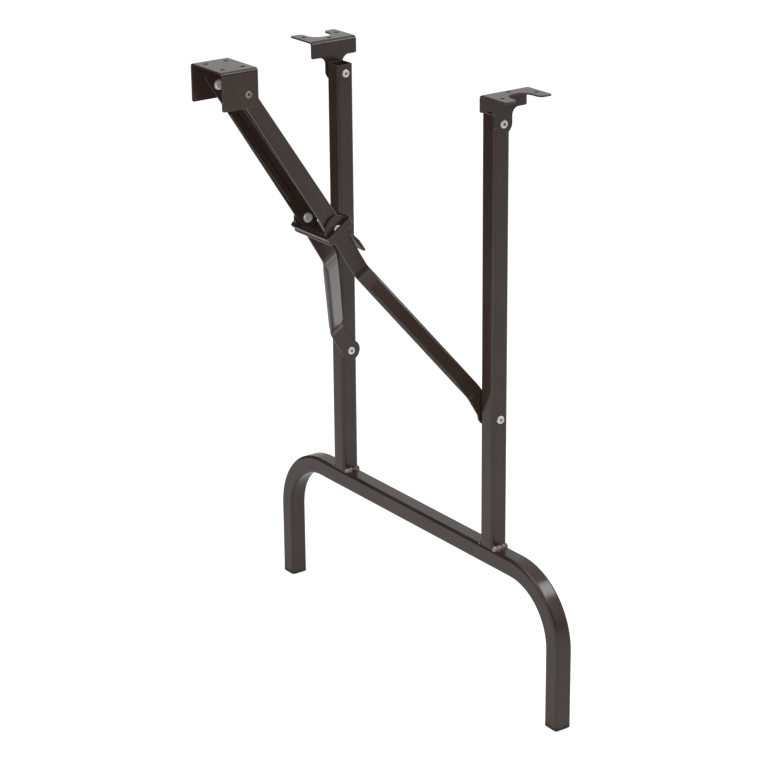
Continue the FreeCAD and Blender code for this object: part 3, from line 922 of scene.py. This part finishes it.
@dataclass(frozen=True)
class DarkCard:
    """A dark card beside the set, seen only as a reflection in glossy faces."""

    name: str
    middle: Place
    turn: float
    size: Span
    tone: float = 0.03

    def build(self) -> None:
        """Stand the card upright, turned about Z."""
        material, graph = new_material(self.name)
        felt = graph.add("ShaderNodeEmission", {"Color": WHITE, "Strength": self.tone})
        graph.add("ShaderNodeOutputMaterial", {"Surface": felt.outputs[0]})
        place = Matrix.Translation(self.middle) @ Matrix.Rotation(self.turn, 4, "Z")
        width, height = self.size
        card = flat_sheet(self.name, width / 2, Vector((0.0, 0.0, height / 2)), place, material)
        card.visible_camera = card.visible_diffuse = card.visible_shadow = False
        card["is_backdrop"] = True


@dataclass
class Studio:
    """White floor, soft boxes, pale surroundings and the photograph's viewpoint."""

    floor_height: float
    floor_half: float = 12.0
    floor_gap: float = 0.4 * MM
    floor_tone: float = 0.7
    floor_glow: float = 0.7
    floor_mirrored: float = 0.15
    floor_fill: float = 0.2
    backdrop_glow: float = 1.0
    backdrop_mirrored: float = 0.7
    ambient: float = 0.45
    eye: Place = (2.21575, -1.63333, 0.64151)
    look_at: Place = (0.06653, -0.09401, -0.33916)
    roll: float = math.radians(-0.559)
    focal_length: float = 118.24
    sensor: float = 36.0
    lamps: tuple[Lamp, ...] = (
        Lamp("overhead_box", (0.2, -0.3, 2.3), (0.0, -0.1, -0.3), (2.4, 2.4), 22.0),
        Lamp("right_box", (1.62, 1.0, 1.5), (0.0, 0.0, -0.35), (0.5, 0.6), 5.6),
        Lamp("back_box", (0.92, 1.5, 1.46), (0.1, 0.0, -0.4), (1.0, 0.5), 9.0),
        Lamp("left_box", (-0.9, -2.4, 0.6), (0.0, 0.0, -0.4), (1.2, 1.6), 8.0),
        Lamp("front_fill", (1.1, -1.5, -0.3), (0.0, -0.2, -0.1), (0.8, 0.6), 9.0, mirrored=False),
        Lamp("table_glow", (0.0, 0.45, -0.69), (0.0, 0.2, 0.2), (0.6, 0.5), 0.45),
    )
    cards: tuple[DarkCard, ...] = (
        DarkCard("left_card", (-1.06, -0.68, 0.25), math.radians(-60), (2.6, 1.9)),
        DarkCard("right_card", (1.9, 0.0, 0.45), math.radians(90), (2.4, 1.7)),
    )

    def build(self) -> None:
        """Set up the whole studio."""
        bpy.context.scene.view_settings.view_transform = "Standard"
        self.lay_floor()
        self.light_world()
        for item in (*self.lamps, *self.cards):
            item.build()
        self.place_camera()

    def seen(self, graph: NodeGraph, direct: float, mirrored: float, unseen: float) -> Socket:
        """Brightness of the background for each kind of ray.

        Args:
            graph: Nodes to add to.
            direct: Brightness that the camera sees.
            mirrored: Brightness that shows in metal and gloss, and through glass.
            unseen: Brightness that only lights the object.

        Returns:
            The brightness's socket.
        """
        path = graph.add("ShaderNodeLightPath").outputs
        rays = {0: path["Is Glossy Ray"], 1: path["Is Transmission Ray"]}
        either = graph.add("ShaderNodeMath", rays, operation="MAXIMUM").outputs[0]
        indirect = graph.add("ShaderNodeMix", {0: either, 2: unseen, 3: mirrored}).outputs[0]
        return graph.add("ShaderNodeMix", {0: path["Is Camera Ray"], 2: indirect, 3: direct}).outputs[0]

    def lay_floor(self) -> None:
        """Lay a plain white floor that keeps a soft shadow."""
        material, graph = new_material("studio_floor")
        tone = (self.floor_tone, self.floor_tone, self.floor_tone, 1.0)
        matt = graph.add("ShaderNodeBsdfDiffuse", {"Color": tone}).outputs[0]
        strength = self.seen(graph, self.floor_glow, self.floor_mirrored, self.floor_fill)
        glow = graph.add("ShaderNodeEmission", {"Strength": strength}).outputs[0]
        both = graph.add("ShaderNodeAddShader", {0: matt, 1: glow}).outputs[0]
        graph.add("ShaderNodeOutputMaterial", {"Surface": both})
        place = Matrix.Translation((0.0, 0.0, self.floor_height - self.floor_gap))
        depth = Vector((0.0, self.floor_half, 0.0))
        floor = flat_sheet("studio_floor", self.floor_half, depth, place, material)
        floor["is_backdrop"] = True

    def light_world(self) -> None:
        """Surround the object with even light that looks white behind it."""
        world = bpy.data.worlds.new("studio_world")
        bpy.context.scene.world = world
        world.use_nodes = True
        graph = NodeGraph(world.node_tree)
        strength = self.seen(graph, self.backdrop_glow, self.backdrop_mirrored, self.ambient)
        white = graph.add("ShaderNodeBackground", {"Color": WHITE, "Strength": strength})
        graph.add("ShaderNodeOutputWorld", {"Surface": white.outputs[0]})

    def place_camera(self) -> None:
        """Stand the camera where the photograph was taken from."""
        data = bpy.data.cameras.new("photo_view")
        data.lens = self.focal_length
        data.sensor_width = self.sensor
        camera = bpy.data.objects.new("photo_view", data)
        eye = Vector(self.eye)
        ahead = (Vector(self.look_at) - eye).normalized()
        level = ahead.cross(Vector((0.0, 0.0, 1.0))).normalized()
        upright = level.cross(ahead)
        across = level * math.cos(self.roll) + upright * math.sin(self.roll)
        up = upright * math.cos(self.roll) - level * math.sin(self.roll)
        turn = Matrix((across, up, -ahead)).transposed().to_4x4()
        camera.matrix_world = Matrix.Translation(eye) @ turn
        bpy.context.scene.collection.objects.link(camera)
        bpy.context.scene.camera = camera


def body_names(bodies: dict[str, Iterable[str]]) -> dict[str, str]:
    """Name the body of every CAD node.

    Args:
        bodies: Nodes of each body.

    Returns:
        Body of each node.
    """
    return {node: body for body, nodes in bodies.items() for node in nodes}


def corners() -> list[list[float]]:
    """Lowest and highest corner of what is shown, as plain lists."""
    return [list(corner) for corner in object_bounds()]


def main() -> None:
    """Dress the leg and set up the studio, with the floor under the lowest corner of what was shown
    before dressing.
    """
    logging.basicConfig(level=logging.INFO, format="%(name)s: %(message)s")
    cad_box = corners()
    dresser = Dresser(Finishes.make(), body_names(frame["record"]["behaviour"]["bodies"]))
    for assembly in (HingePlates(dresser), LegFrame(dresser), FoldingBrace(dresser)):
        pieces = assembly.build()
        LOG.info("%s: %d pieces", type(assembly).__name__, len(pieces))
    Studio(floor_height=cad_box[0][2]).build()


if __name__ == "__main__":
    main()
